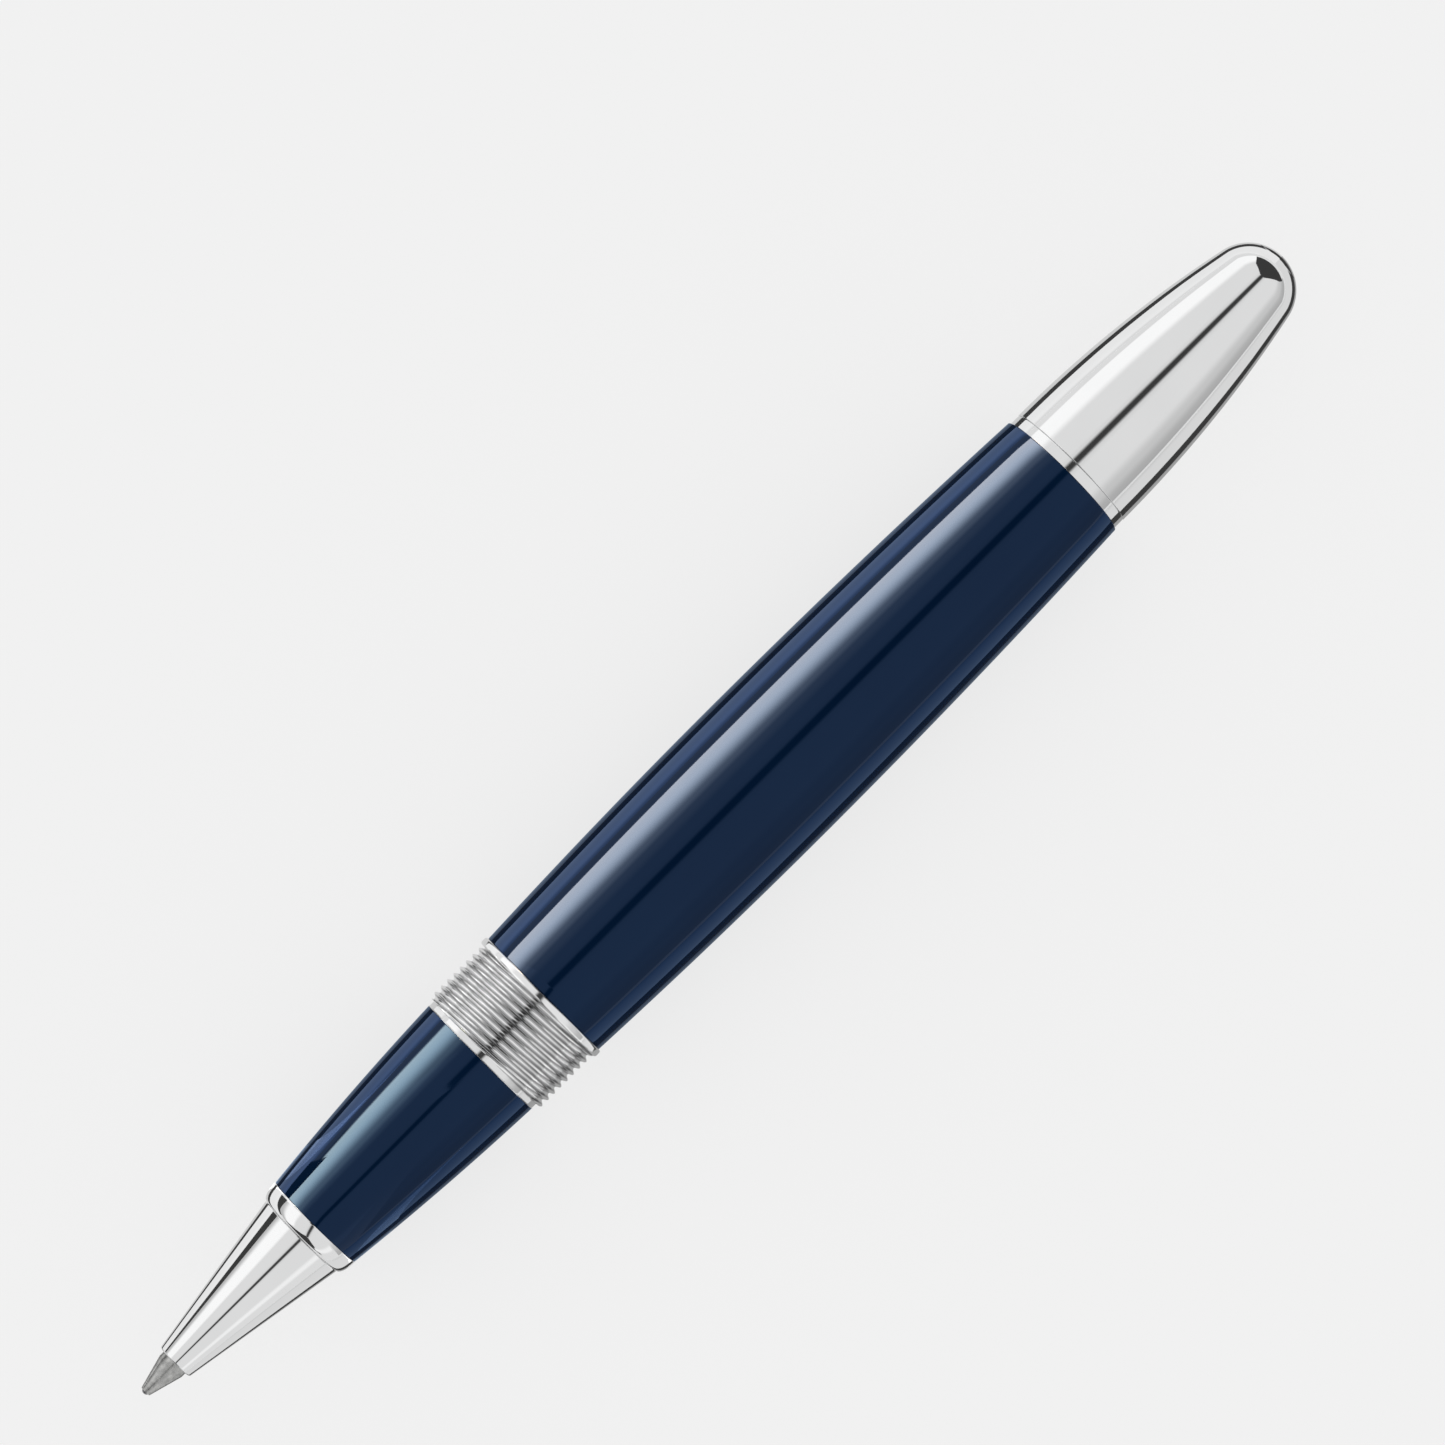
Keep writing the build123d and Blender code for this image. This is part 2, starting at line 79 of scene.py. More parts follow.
HAIR = 0.0002 * MM         # just to one side of a station
SAME_PLACE = 0.002 * MM    # corners of an outline nearer than this are one corner
ON_LINE = 0.0005 * MM      # a corner nearer than this to a straight line is on it
WELD = 0.0005 * MM         # points of a piece nearer than this are one point
UPRIGHT = 0.0005           # an edge that turns less than this, in radians, runs along the outline
CRISP = math.radians(32)   # an edge sharper than this isn't smoothed
BLUNT = math.radians(160)  # a corner blunter than this isn't rounded


# ======== Reading the frame ========

@functools.cache
def meridians(node):
    """The edges of a CAD node that run along its outline, each (station, radius, station, radius)."""
    mesh = frame["nodes"][node].data
    points = np.array([vertex.co for vertex in mesh.vertices], float)
    edges = np.array([edge.vertices[:] for edge in mesh.edges])
    radius = np.hypot(points[:, 1], points[:, 2] - AXIS_Z)
    angle = np.arctan2(points[:, 1], points[:, 2] - AXIS_Z)
    first, second = edges[:, 0], edges[:, 1]
    turn = np.abs(np.angle(np.exp(1j * (angle[first] - angle[second]))))
    on_axis = np.minimum(radius[first], radius[second]) < HAIR
    along = (turn < UPRIGHT) | on_axis
    first, second = first[along], second[along]
    swap = points[first, 0] > points[second, 0]
    first, second = np.where(swap, second, first), np.where(swap, first, second)
    return np.column_stack((points[first, 0], radius[first], points[second, 0], radius[second]))


def wall(node, station):
    """The inner and outer radius of a CAD node at a station."""
    start, start_radius, end, end_radius = meridians(node).T
    across = (start <= station) & (end >= station) & (end - start > HAIR)
    share = (station - start[across]) / (end[across] - start[across])
    radii = start_radius[across] + share * (end_radius[across] - start_radius[across])
    return radii.min(), radii.max()


def sides(node):
    """The inner and the outer side of a CAD node, each a list of corners from its front to its rear."""
    lines = meridians(node)
    stations = np.unique(np.round(lines[:, [0, 2]].ravel(), 7))
    inner, outer = [], []
    for place in stations:
        for side in (place - HAIR, place + HAIR):
            if stations[0] < side < stations[-1]:
                inside, outside = wall(node, side)
                inner.append((place, inside))
                outer.append((place, outside))
    return tidy(inner), tidy(outer)


def tidy(points):
    """Drops points that repeat the one before, or that lie on the line between their neighbours."""
    kept = []
    for point in points:
        if kept and math.dist(kept[-1], point) < SAME_PLACE:
            continue
        if len(kept) > 1 and off_line(kept[-2], kept[-1], point) < ON_LINE:
            kept.pop()
        kept.append(point)
    return kept


def off_line(start, middle, end):
    """How far a middle point stands off the line from start to end."""
    run, rise = end[0] - start[0], end[1] - start[1]
    across = (middle[0] - start[0]) * rise - (middle[1] - start[1]) * run
    return abs(across) / max(math.hypot(run, rise), HAIR)


def ends(node):
    """The stations of a CAD node's front and rear."""
    low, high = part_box(node)
    return low.x, high.x


# ======== Drawing outlines ========

def arc(start, middle, end, steps=CURVE_STEPS):
    """Points along the arc through three points, both ends included. It is less than half a turn."""
    (ax, ay), (bx, by), (cx, cy) = start, middle, end
    doubled = 2 * (ax * (by - cy) + bx * (cy - ay) + cx * (ay - by))
    a2, b2, c2 = ax * ax + ay * ay, bx * bx + by * by, cx * cx + cy * cy
    ox = (a2 * (by - cy) + b2 * (cy - ay) + c2 * (ay - by)) / doubled
    oy = (a2 * (cx - bx) + b2 * (ax - cx) + c2 * (bx - ax)) / doubled
    radius = math.hypot(ax - ox, ay - oy)
    first = math.atan2(ay - oy, ax - ox)
    sweep = math.remainder(math.atan2(cy - oy, cx - ox) - first, 2 * math.pi)
    turns = [first + sweep * step / steps for step in range(steps + 1)]
    return [(ox + radius * math.cos(turn), oy + radius * math.sin(turn)) for turn in turns]


def sweep_round(centre, along, across, first, last, steps=CURVE_STEPS):
    """Points round a centre from one angle to another: 0 is in front of it, a quarter turn above it.
    along and across are the radii in those two ways."""
    turns = [first + (last - first) * step / steps for step in range(steps + 1)]
    return [(centre[0] - along * math.cos(turn), centre[1] + across * math.sin(turn)) for turn in turns]


def level_arc(top, end):
    """Points from top to end along the arc that leaves top along the pen."""
    run, drop = end[0] - top[0], top[1] - end[1]
    radius = (run * run + drop * drop) / (2 * drop)
    return sweep_round(
        (top[0], top[1] - radius), radius, radius, math.pi / 2, math.pi / 2 + math.asin(run / radius)
    )


def break_corners(points, rounding):
    """Rounds each sharp corner of a closed outline, as far as its neighbours leave room."""
    broken = []
    for index, corner in enumerate(points):
        before, after = points[index - 1], points[(index + 1) % len(points)]
        to_before = Vector(before) - Vector(corner)
        to_after = Vector(after) - Vector(corner)
        inside = to_before.angle(to_after)
        room = min(to_before.length, to_after.length) * 0.45
        if inside > BLUNT or min(corner[1], before[1], after[1]) < HAIR:
            broken.append(corner)
            continue
        reach = min(rounding / math.tan(inside / 2), room)
        start = Vector(corner) + to_before.normalized() * reach
        end = Vector(corner) + to_after.normalized() * reach
        radius = reach * math.tan(inside / 2)
        inward = (to_before.normalized() + to_after.normalized()).normalized()
        centre = Vector(corner) + inward * (radius / math.sin(inside / 2))
        first = math.atan2(start.y - centre.y, start.x - centre.x)
        last = math.atan2(end.y - centre.y, end.x - centre.x)
        sweep = math.remainder(last - first, 2 * math.pi)
        for step in range(CORNER_STEPS + 1):
            turn = first + sweep * step / CORNER_STEPS
            broken.append((centre.x + radius * math.cos(turn), centre.y + radius * math.sin(turn)))
    return broken


# ======== Turning pieces ========

def deselect():
    for thing in bpy.context.selected_objects:
        thing.select_set(False)


def draw_outline(name, points):
    """A new piece that is only the outline, drawn by extruding a point from corner to corner."""
    deselect()
    bpy.ops.mesh.primitive_plane_add(size=MM, location=(0, 0, AXIS_Z))
    piece = bpy.context.object
    piece.name = piece.data.name = name
    bpy.ops.object.mode_set(mode="EDIT")
    bpy.ops.mesh.merge(type="CENTER")
    bpy.ops.transform.translate(value=(points[0][0], 0, points[0][1]))
    for here, there in zip(points, points[1:]):
        step = (there[0] - here[0], 0, there[1] - here[1])
        bpy.ops.mesh.extrude_region_move(TRANSFORM_OT_translate={"value": step})
    return piece


def turn(name, points, closed=True, steps=ROUND_STEPS):
    """A piece turned about the pen's axis from an outline."""
    piece = draw_outline(name, points + points[:1] if closed else points)
    bpy.ops.mesh.select_all(action="SELECT")
    bpy.ops.mesh.spin(
        steps=steps, angle=2 * math.pi, center=(0, 0, AXIS_Z), axis=(1, 0, 0), use_auto_merge=True
    )
    return close_up(piece)


def close_up(piece):
    """Welds a piece's doubled points, turns its faces outward and smooths all but its sharp edges."""
    bpy.ops.mesh.select_all(action="SELECT")
    bpy.ops.mesh.remove_doubles(threshold=WELD)
    bpy.ops.mesh.normals_make_consistent(inside=False)
    bpy.ops.object.mode_set(mode="OBJECT")
    bpy.ops.object.transform_apply(location=True, rotation=True, scale=True)
    bpy.ops.object.shade_smooth_by_angle(angle=CRISP)
    return piece


RIDGE_POWER = 1.3          # above 1, a ridge is narrower than the groove beside it
THREAD_WALL = 0.93         # the inside of a wound tube, as a share of its outside


def wind_thread(name, front, rear, root, crest, pitch, starts):
    """A tube whose outside is a right-hand screw thread, of as many ridges side by side as starts says.
    It is wound longer than it has to be, cut at both ends and closed with an inner wall."""
    lead = pitch * starts
    first = front - lead
    steps = THREAD_STEPS * starts
    ridge = []
    for step in range(steps + 1):
        rise = (0.5 - 0.5 * math.cos(2 * math.pi * step / THREAD_STEPS)) ** RIDGE_POWER
        ridge.append((first + lead * step / steps, root + (crest - root) * rise))
    piece = draw_outline(name, ridge)
    bpy.ops.object.mode_set(mode="OBJECT")
    winding = piece.modifiers.new("winding", "SCREW")
    winding.axis = "X"
    winding.angle = 2 * math.pi
    winding.screw_offset = lead
    winding.iterations = math.ceil((rear - first) / lead) + 1
    winding.steps = winding.render_steps = THREAD_TURN_STEPS
    winding.use_merge_vertices = False
    winding.use_normal_calculate = False
    bpy.ops.object.modifier_apply(modifier=winding.name)
    bpy.ops.object.mode_set(mode="EDIT")
    bpy.ops.mesh.select_all(action="SELECT")
    bpy.ops.mesh.remove_doubles(threshold=WELD)
    for place, keep_front in ((front, False), (rear, True)):
        bpy.ops.mesh.select_all(action="SELECT")
        bpy.ops.mesh.bisect(
            plane_co=(place, 0, AXIS_Z), plane_no=(1, 0, 0),
            clear_outer=keep_front, clear_inner=not keep_front, threshold=HAIR / 2,
        )
    bpy.ops.mesh.select_mode(type="EDGE")
    bpy.ops.mesh.select_all(action="DESELECT")
    bpy.ops.mesh.select_non_manifold(
        extend=False, use_wire=False, use_multi_face=False, use_non_contiguous=False, use_verts=False
    )
    bpy.ops.mesh.extrude_region_move(TRANSFORM_OT_translate={"value": (0, 0, 0)})
    bpy.ops.transform.resize(value=(1, THREAD_WALL, THREAD_WALL), center_override=(0, 0, AXIS_Z))
    bpy.ops.mesh.bridge_edge_loops()
    bpy.ops.mesh.select_mode(type="VERT")
    return close_up(piece)


def finish_piece(piece, node, material):
    """The piece stands for a CAD node, rides on its body and takes its slot and material."""
    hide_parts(node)
    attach(piece, frame["nodes"][node]["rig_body"])
    piece.data.materials.clear()
    piece.data.materials.append(material)


# ======== Materials ========

# How marks are stretched: along the pen, round it, or not at all.
ALONG = (0.05, 1.0, 1.0)
AROUND = (1.0, 0.05, 0.05)
EVEN = (1.0, 1.0, 1.0)
MARK_DEPTH = 0.01 * MM


def new_material(name):
    material = bpy.data.materials.new(name)
    material.use_nodes = True
    return material, material.node_tree.nodes, material.node_tree.links


def new_group(name, inputs, outputs):
    """A shared group of nodes, with what it is given and what it puts out. Each socket is given as its
    name, its kind and, for an input, perhaps its value."""
    group = bpy.data.node_groups.new(name, "ShaderNodeTree")
    for direction, sockets in (("INPUT", inputs), ("OUTPUT", outputs)):
        for label, kind, *value in sockets:
            socket = group.interface.new_socket(
                name=label, in_out=direction, socket_type="NodeSocket" + kind
            )
            if value:
                socket.default_value = value[0]
    given = group.nodes.new("NodeGroupInput")
    out = group.nodes.new("NodeGroupOutput")
    return group, group.nodes, group.links, given, out


def make_handling_marks():
    """Shared group: hairline scratches and faint smudges, as a roughness and a height."""
    group, nodes, links, given, out = new_group("handling_marks", (
        ("Hairline Scale", "Float", 2000.0),
        ("Hairline Stretch", "Vector", ALONG),
        ("Smudge Scale", "Float", 120.0),
        ("Low Roughness", "Float", 0.05),
        ("High Roughness", "Float", 0.12),
    ), (("Roughness", "Float"), ("Height", "Float")))
    place = nodes.new("ShaderNodeTexCoord")
    stretch = nodes.new("ShaderNodeVectorMath")
    stretch.operation = "MULTIPLY"
    links.new(place.outputs["Object"], stretch.inputs[0])
    links.new(given.outputs["Hairline Stretch"], stretch.inputs[1])
    hairlines = nodes.new("ShaderNodeTexNoise")
    hairlines.inputs["Detail"].default_value = 3.0
    links.new(stretch.outputs["Vector"], hairlines.inputs["Vector"])
    links.new(given.outputs["Hairline Scale"], hairlines.inputs["Scale"])
    smudges = nodes.new("ShaderNodeTexNoise")
    smudges.inputs["Detail"].default_value = 4.0
    smudges.inputs["Roughness"].default_value = 0.6
    links.new(place.outputs["Object"], smudges.inputs["Vector"])
    links.new(given.outputs["Smudge Scale"], smudges.inputs["Scale"])
    both = nodes.new("ShaderNodeMath")
    both.operation = "MULTIPLY"
    links.new(hairlines.outputs["Fac"], both.inputs[0])
    links.new(smudges.outputs["Fac"], both.inputs[1])
    spread = nodes.new("ShaderNodeMapRange")
    spread.inputs["From Min"].default_value = 0.12
    spread.inputs["From Max"].default_value = 0.42
    links.new(both.outputs["Value"], spread.inputs["Value"])
    links.new(given.outputs["Low Roughness"], spread.inputs["To Min"])
    links.new(given.outputs["High Roughness"], spread.inputs["To Max"])
    links.new(spread.outputs["Result"], out.inputs["Roughness"])
    links.new(hairlines.outputs["Fac"], out.inputs["Height"])
    return group


def make_two_tone():
    """Shared group: one colour drifting softly into another, as in any real finish."""
    group, nodes, links, given, out = new_group("two_tone", (
        ("First Colour", "Color"), ("Second Colour", "Color"), ("Scale", "Float", 200.0),
    ), (("Colour", "Color"),))
    place = nodes.new("ShaderNodeTexCoord")
    drift = nodes.new("ShaderNodeTexNoise")
    drift.inputs["Detail"].default_value = 5.0
    links.new(place.outputs["Object"], drift.inputs["Vector"])
    links.new(given.outputs["Scale"], drift.inputs["Scale"])
    contrast = nodes.new("ShaderNodeMapRange")
    contrast.inputs["From Min"].default_value = 0.35
    contrast.inputs["From Max"].default_value = 0.65
    links.new(drift.outputs["Fac"], contrast.inputs["Value"])
    mix = nodes.new("ShaderNodeMix")
    mix.data_type = "RGBA"
    links.new(contrast.outputs["Result"], mix.inputs["Factor"])
    links.new(given.outputs["First Colour"], mix.inputs["A"])
    links.new(given.outputs["Second Colour"], mix.inputs["B"])
    links.new(mix.outputs["Result"], out.inputs["Colour"])
    return group


def make_painted_flank_shade():
    """Shared group: painted shade, a colour that darkens at one radius round the pen, on the flanks of
    ridges.
    """
    group, nodes, links, given, out = new_group("painted_flank_shade", (
        ("Colour", "Color"), ("Flank Colour", "Color"),
        ("Flank Radius", "Float", 0.0061), ("Half Width", "Float", 0.0002),
    ), (("Colour", "Color"),))
    place = nodes.new("ShaderNodeTexCoord")
    across = nodes.new("ShaderNodeVectorMath")
    across.operation = "MULTIPLY_ADD"
    across.inputs[1].default_value = (0.0, 1.0, 1.0)
    across.inputs[2].default_value = (0.0, 0.0, -AXIS_Z)
    links.new(place.outputs["Object"], across.inputs[0])
    radius = nodes.new("ShaderNodeVectorMath")
    radius.operation = "LENGTH"
    links.new(across.outputs["Vector"], radius.inputs[0])
    apart = nodes.new("ShaderNodeMath")
    apart.operation = "SUBTRACT"
    links.new(radius.outputs["Value"], apart.inputs[0])
    links.new(given.outputs["Flank Radius"], apart.inputs[1])
    either = nodes.new("ShaderNodeMath")
    either.operation = "ABSOLUTE"
    links.new(apart.outputs["Value"], either.inputs[0])
    clean = nodes.new("ShaderNodeMapRange")
    clean.interpolation_type = "SMOOTHSTEP"
    links.new(either.outputs["Value"], clean.inputs["Value"])
    links.new(given.outputs["Half Width"], clean.inputs["From Max"])
    mix = nodes.new("ShaderNodeMix")
    mix.data_type = "RGBA"
    links.new(clean.outputs["Result"], mix.inputs["Factor"])
    links.new(given.outputs["Flank Colour"], mix.inputs["A"])
    links.new(given.outputs["Colour"], mix.inputs["B"])
    links.new(mix.outputs["Result"], out.inputs["Colour"])
    return group


handling_marks = make_handling_marks()
painted_flank_shade = make_painted_flank_shade()
two_tone = make_two_tone()


def finish_of(name, first, second, tone_scale, low_rough, high_rough, bump,
              hairline_scale=2000.0, stretch=ALONG, flanks=None, **shader_values):
    """A material of two drifting colours whose roughness and bump come from the handling marks.
    flanks, if given, is painted shade: a darker colour, the radius where it is full, and how soon it
    fades."""
    material, nodes, links = new_material(name)
    shader = nodes["Principled BSDF"]
    for socket, value in shader_values.items():
        shader.inputs[socket.replace("_", " ")].default_value = value
    tone = nodes.new("ShaderNodeGroup")
    tone.node_tree = two_tone
    tone.inputs["First Colour"].default_value = (*first, 1.0)
    tone.inputs["Second Colour"].default_value = (*second, 1.0)
    tone.inputs["Scale"].default_value = tone_scale
    colour = tone.outputs["Colour"]
    if flanks:
        shade = nodes.new("ShaderNodeGroup")
        shade.node_tree = painted_flank_shade
        flank_colour, flank_radius, half_width = flanks
        shade.inputs["Flank Colour"].default_value = (*flank_colour, 1.0)
        shade.inputs["Flank Radius"].default_value = flank_radius
        shade.inputs["Half Width"].default_value = half_width
        links.new(colour, shade.inputs["Colour"])
        colour = shade.outputs["Colour"]
    links.new(colour, shader.inputs["Base Color"])
    marks = nodes.new("ShaderNodeGroup")
    marks.node_tree = handling_marks
    marks.inputs["Hairline Scale"].default_value = hairline_scale
    marks.inputs["Hairline Stretch"].default_value = stretch
    marks.inputs["Low Roughness"].default_value = low_rough
    marks.inputs["High Roughness"].default_value = high_rough
    links.new(marks.outputs["Roughness"], shader.inputs["Roughness"])
    if bump:
        relief = nodes.new("ShaderNodeBump")
        relief.inputs["Strength"].default_value = bump
        relief.inputs["Distance"].default_value = MARK_DEPTH
        links.new(marks.outputs["Height"], relief.inputs["Height"])
        links.new(relief.outputs["Normal"], shader.inputs["Normal"])
    return material


navy_lacquer = finish_of(
    "navy_lacquer", (0.0004, 0.0066, 0.0245), (0.0006, 0.0078, 0.0270), 90.0, 0.030, 0.045, 0.0,
    IOR=1.46, Specular_Tint=(0.31, 0.52, 1.0, 1.0),
)
bright_plating = finish_of(
    "bright_plating", (0.785, 0.788, 0.790), (0.800, 0.802, 0.804), 160.0, 0.035, 0.065, 0.0,
    Metallic=1.0,
)
# The thread's colour darkens on the flanks of its ridges: painted shade.
thread_plating = finish_of(
    "thread_plating", (0.830, 0.833, 0.836), (0.860, 0.862, 0.864), 160.0, 0.07, 0.12, 0.0,
    flanks=((0.22, 0.22, 0.225), 6.12 * MM, 0.15 * MM), Metallic=1.0,
)
# The bead's colour goes near black at its shoulder beside the barrel: painted shade in the seam.
bead_plating = finish_of(
    "bead_plating", (0.830, 0.833, 0.836), (0.860, 0.862, 0.864), 160.0, 0.05, 0.08, 0.0,
    flanks=((0.03, 0.03, 0.03), 6.32 * MM, 0.11 * MM), Metallic=1.0,
)
tip_metal = finish_of(
    "turned_nickel_silver", (0.31, 0.31, 0.305), (0.46, 0.46, 0.45), 2500.0, 0.20, 0.34, 0.35,
    hairline_scale=9000.0, stretch=AROUND, Metallic=1.0,
)
carbide = finish_of(
    "ground_carbide", (0.20, 0.20, 0.21), (0.28, 0.28, 0.29), 4000.0, 0.12, 0.22, 0.0, Metallic=1.0,
)
brass = finish_of(
    "turned_brass", (0.74, 0.52, 0.20), (0.80, 0.60, 0.27), 300.0, 0.20, 0.34, 0.2,
    hairline_scale=5000.0, stretch=AROUND, Metallic=1.0,
)
steel = finish_of(
    "drawn_steel", (0.55, 0.55, 0.55), (0.63, 0.63, 0.62), 300.0, 0.22, 0.36, 0.15, Metallic=1.0,
)
refill_plastic = finish_of(
    "moulded_plastic", (0.030, 0.031, 0.034), (0.042, 0.043, 0.047), 400.0, 0.38, 0.52, 0.2,
    stretch=EVEN, IOR=1.49,
)
fibre = finish_of(
    "inked_fibre", (0.010, 0.018, 0.080), (0.045, 0.060, 0.170), 900.0, 0.75, 0.95, 0.8,
    hairline_scale=4000.0, IOR=1.4,
)
seal_rubber = finish_of(
    "seal_rubber", (0.012, 0.012, 0.012), (0.022, 0.022, 0.022), 700.0, 0.55, 0.75, 0.3,
    stretch=EVEN, IOR=1.45,
)


# ======== Pieces ========

SEAM_ROUNDING = 0.05 * MM
POINT_ROUNDING = 0.04 * MM
NEAR_END = 0.2 * MM        # far enough in from an end to be clear of its broken edge
SECTION_LEAD = 1.0 * MM    # how far the section comes out in one turn
SECTION_THREAD_DEPTH = 0.30 * MM
CAP_THREAD_COVER = 0.12 * MM      # from a wound thread's root down to the tube inside it
SECTION_THREAD_COVER = 0.10 * MM
CAP_THREAD_STARTS = 3
RUN_IN = 0.35              # the part of a pitch ahead of the cap thread's first crest
OVERLAP = 0.01 * MM        # how far the cap thread goes into the mouth bead


def turned_copy(node, name, material, rounding=SEAM_ROUNDING, outer=None):
    """A smooth piece with a CAD node's outline. outer, if given, takes the place of its outer side."""
    inside, outside = sides(node)
    points = break_corners(tidy((outer or outside) + inside[::-1]), rounding)
    finish_piece(turn(name, points), node, material)


def make_writing_ball():
    front, rear = ends("writing_ball")
    radius = (rear - front) / 2
    outline = sweep_round((front + radius, 0), radius, radius, 0, math.pi, BALL_STEPS // 2)
    finish_piece(turn("ball", outline, closed=False, steps=BALL_STEPS), "writing_ball", carbide)


def make_nose_cone():
    turned_copy("nose_cone", "nose", bright_plating)


def make_front_ring():
    front, rear = ends("front_ring")
    low = wall("nose_cone", front - NEAR_END)[1]
    top = wall("front_ring", rear - HAIR)[1]
    dome = sweep_round((rear, low), rear - front, top - low, 0, math.pi / 2, CURVE_STEPS // 2)
    turned_copy("front_ring", "front_ring_dome", bright_plating, outer=dome)


def make_grip():
    front, rear = ends("grip")
    places = front + NEAR_END, (front + rear) / 2, rear - NEAR_END
    side = arc(*((place, wall("grip", place)[1]) for place in places))
    turned_copy("grip", "grip_sleeve", navy_lacquer, outer=extend(side, front, rear))


def extend(side, front, rear):
    """Carries the first and last step of a side on to two stations."""
    (ax, ay), (bx, by) = side[:2]
    (cx, cy), (dx, dy) = side[-2:]
    start = (front, ay + (front - ax) * (by - ay) / (bx - ax))
    end = (rear, dy + (rear - dx) * (dy - cy) / (dx - cx))
    return [start] + side + [end]


def make_mouth_ring():
    turned_copy("mouth_ring", "mouth_bead", bead_plating)


def make_barrel():
    front, rear = ends("barrel")
    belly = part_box("barrel")[1].z - AXIS_Z
    lines = meridians("barrel")
    widest = lines[lines[:, 1] > belly - HAIR]
    belly_at = float(np.median(widest[:, 0]))
    # The radii are read in from the barrel's broken edges, and the drops carry them on to its ends.
    front_inset, front_drop = 0.3 * MM, 0.02 * MM
    rear_inset, rear_drop = 1.0 * MM, 0.06 * MM
    front_radius = wall("barrel", front + front_inset)[1] - front_drop
    rear_radius = wall("barrel", rear - rear_inset)[1] - rear_drop
    fore = level_arc((belly_at, belly), (front, front_radius))[::-1]
    aft = level_arc((belly_at, belly), (rear, rear_radius))
    turned_copy("barrel", "barrel_shell", navy_lacquer, outer=fore + aft[1:])


def make_tail():
    turned_copy("tail_ring", "tail_band", bright_plating)
    front, rear = ends("tail_cone")
    # The round end's radius follows from the cone's radius a little way in from the end.
    depth = 0.5 * MM
    chord = wall("tail_cone", rear - depth)[1]
    dome = (chord * chord + depth * depth) / (2 * depth)
    start_radius = wall("tail_cone", front + NEAR_END)[1]
    # The side leaves the band along the pen and runs smoothly into the round end.
    run = rear - dome - front
    side_radius = (run * run + start_radius ** 2 - dome ** 2) / (2 * (start_radius - dome))
    meeting = math.pi / 2 + math.asin(run / (side_radius - dome))
    side_centre = (front, start_radius - side_radius)
    side = sweep_round(side_centre, side_radius, side_radius, math.pi / 2, meeting)
    end = sweep_round((rear - dome, 0), dome, dome, meeting, math.pi)
    turned_copy("tail_cone", "tail_cap", bright_plating, outer=side + end[1:])


def make_refill_tip():
    turned_copy("refill_tip", "refill_point", tip_metal, rounding=POINT_ROUNDING)


def crests_of(outer):
    """The radius of an outer side's crests, and the stations of the corners that are on them."""
    crest = max(radius for _, radius in outer)
    return crest, [place for place, radius in outer if radius > crest - 0.01 * MM]


def make_thread_ring():
    """The ring behind the grip: a front lip, the cap's thread, and a sleeve inside the barrel."""
    outer = sides("cap_thread_ring")[1]
    crest, corners = crests_of(outer)          # each ridge has two corners
    ridges = round((corners[-1] - corners[0]) / (corners[2] - corners[0])) + 1
    pitch = (corners[-2] - corners[0]) / (ridges - 1)
    root = wall("cap_thread_ring", (corners[1] + corners[2]) / 2)[1]
    thread_front = corners[0] - pitch * RUN_IN
    thread_rear = ends("mouth_ring")[0] + OVERLAP
    core = root - CAP_THREAD_COVER
    lip = [point for point in outer if point[0] < thread_front]
    sleeve = [point for point in outer if point[0] > thread_rear + 2 * OVERLAP]
    outline = lip[:2] + [(lip[1][0], core), (thread_rear, core), (thread_rear, sleeve[0][1])] + sleeve
    turned_copy("cap_thread_ring", "thread_sleeve", bright_plating, outer=outline)
    thread = wind_thread(
        "cap_thread", thread_front, thread_rear, root, crest, pitch, CAP_THREAD_STARTS
    )
    finish_piece(thread, "cap_thread_ring", thread_plating)


def make_grip_liner():
    """The brass tube inside the grip, with the thread that screws into the barrel."""
    outer = sides("grip_liner")[1]
    crest, corners = crests_of(outer)
    front, rear = corners[0], corners[-1]
    root = crest - SECTION_THREAD_DEPTH
    core = root - SECTION_THREAD_COVER
    plain = [point for point in outer if point[0] < front + HAIR and point[1] < core]
    outline = plain + [(front, core), (outer[-1][0], core)]
    turned_copy("grip_liner", "liner_tube", brass, outer=outline)
    thread = wind_thread("section_thread", front, rear, root, crest, SECTION_LEAD, starts=1)
    finish_piece(thread, "grip_liner", brass)


make_writing_ball()
make_refill_tip()
make_grip_liner()
make_nose_cone()
make_front_ring()
make_grip()
make_thread_ring()
make_mouth_ring()
make_barrel()
make_tail()

KEPT_NODES = (
    (refill_plastic, ("tip_holder", "refill_end_plug", "refill_follower")),
    (fibre, ("feed_rod", "ink_reservoir")),
    (steel, ("refill_tube", "refill_spring")),
    (brass, ("barrel_liner", "tail_core")),
    (seal_rubber, ("section_seal",)),
)
for material, nodes in KEPT_NODES:
    for node in nodes:
        mesh = frame["nodes"][node].data
        mesh.materials.clear()
        mesh.materials.append(material)


# ======== Studio ========

LACQUERED = ("barrel_shell", "grip_sleeve")
PLATED = [
    piece.name for piece in bpy.data.objects if piece.type == "MESH" and piece.name not in LACQUERED
]

WHITE = (1.0, 1.0, 1.0)
AIR = 0.88                 # how bright the studio is all round, as the pen mirrors it
BLACK = 0.05               # how bright its black cards are
WINDOW_AWAY = 0.42         # from the axis to the windows on the far side
SHADE_AWAY = 0.40          # from the axis to the shade on the near side
GAP_HEIGHT = 0.80
FLOOR_COLOUR = (0.16, 0.16, 0.16, 1.0)
FLOOR_GLOW = 0.74          # how much of the floor's brightness is its own
FLOOR_REACH = 0.120        # how far out from the pen the floor's strips go
AHEAD_OF_NOSE = 0.030      # how far they go beyond the nose
STRIP_STEPS = 12           # faces of a strip beside one piece
STRIP_HEIGHTS = {"black": 0.0001, "plating": 0.0003, "lacquer": 0.0004}  # none hides another
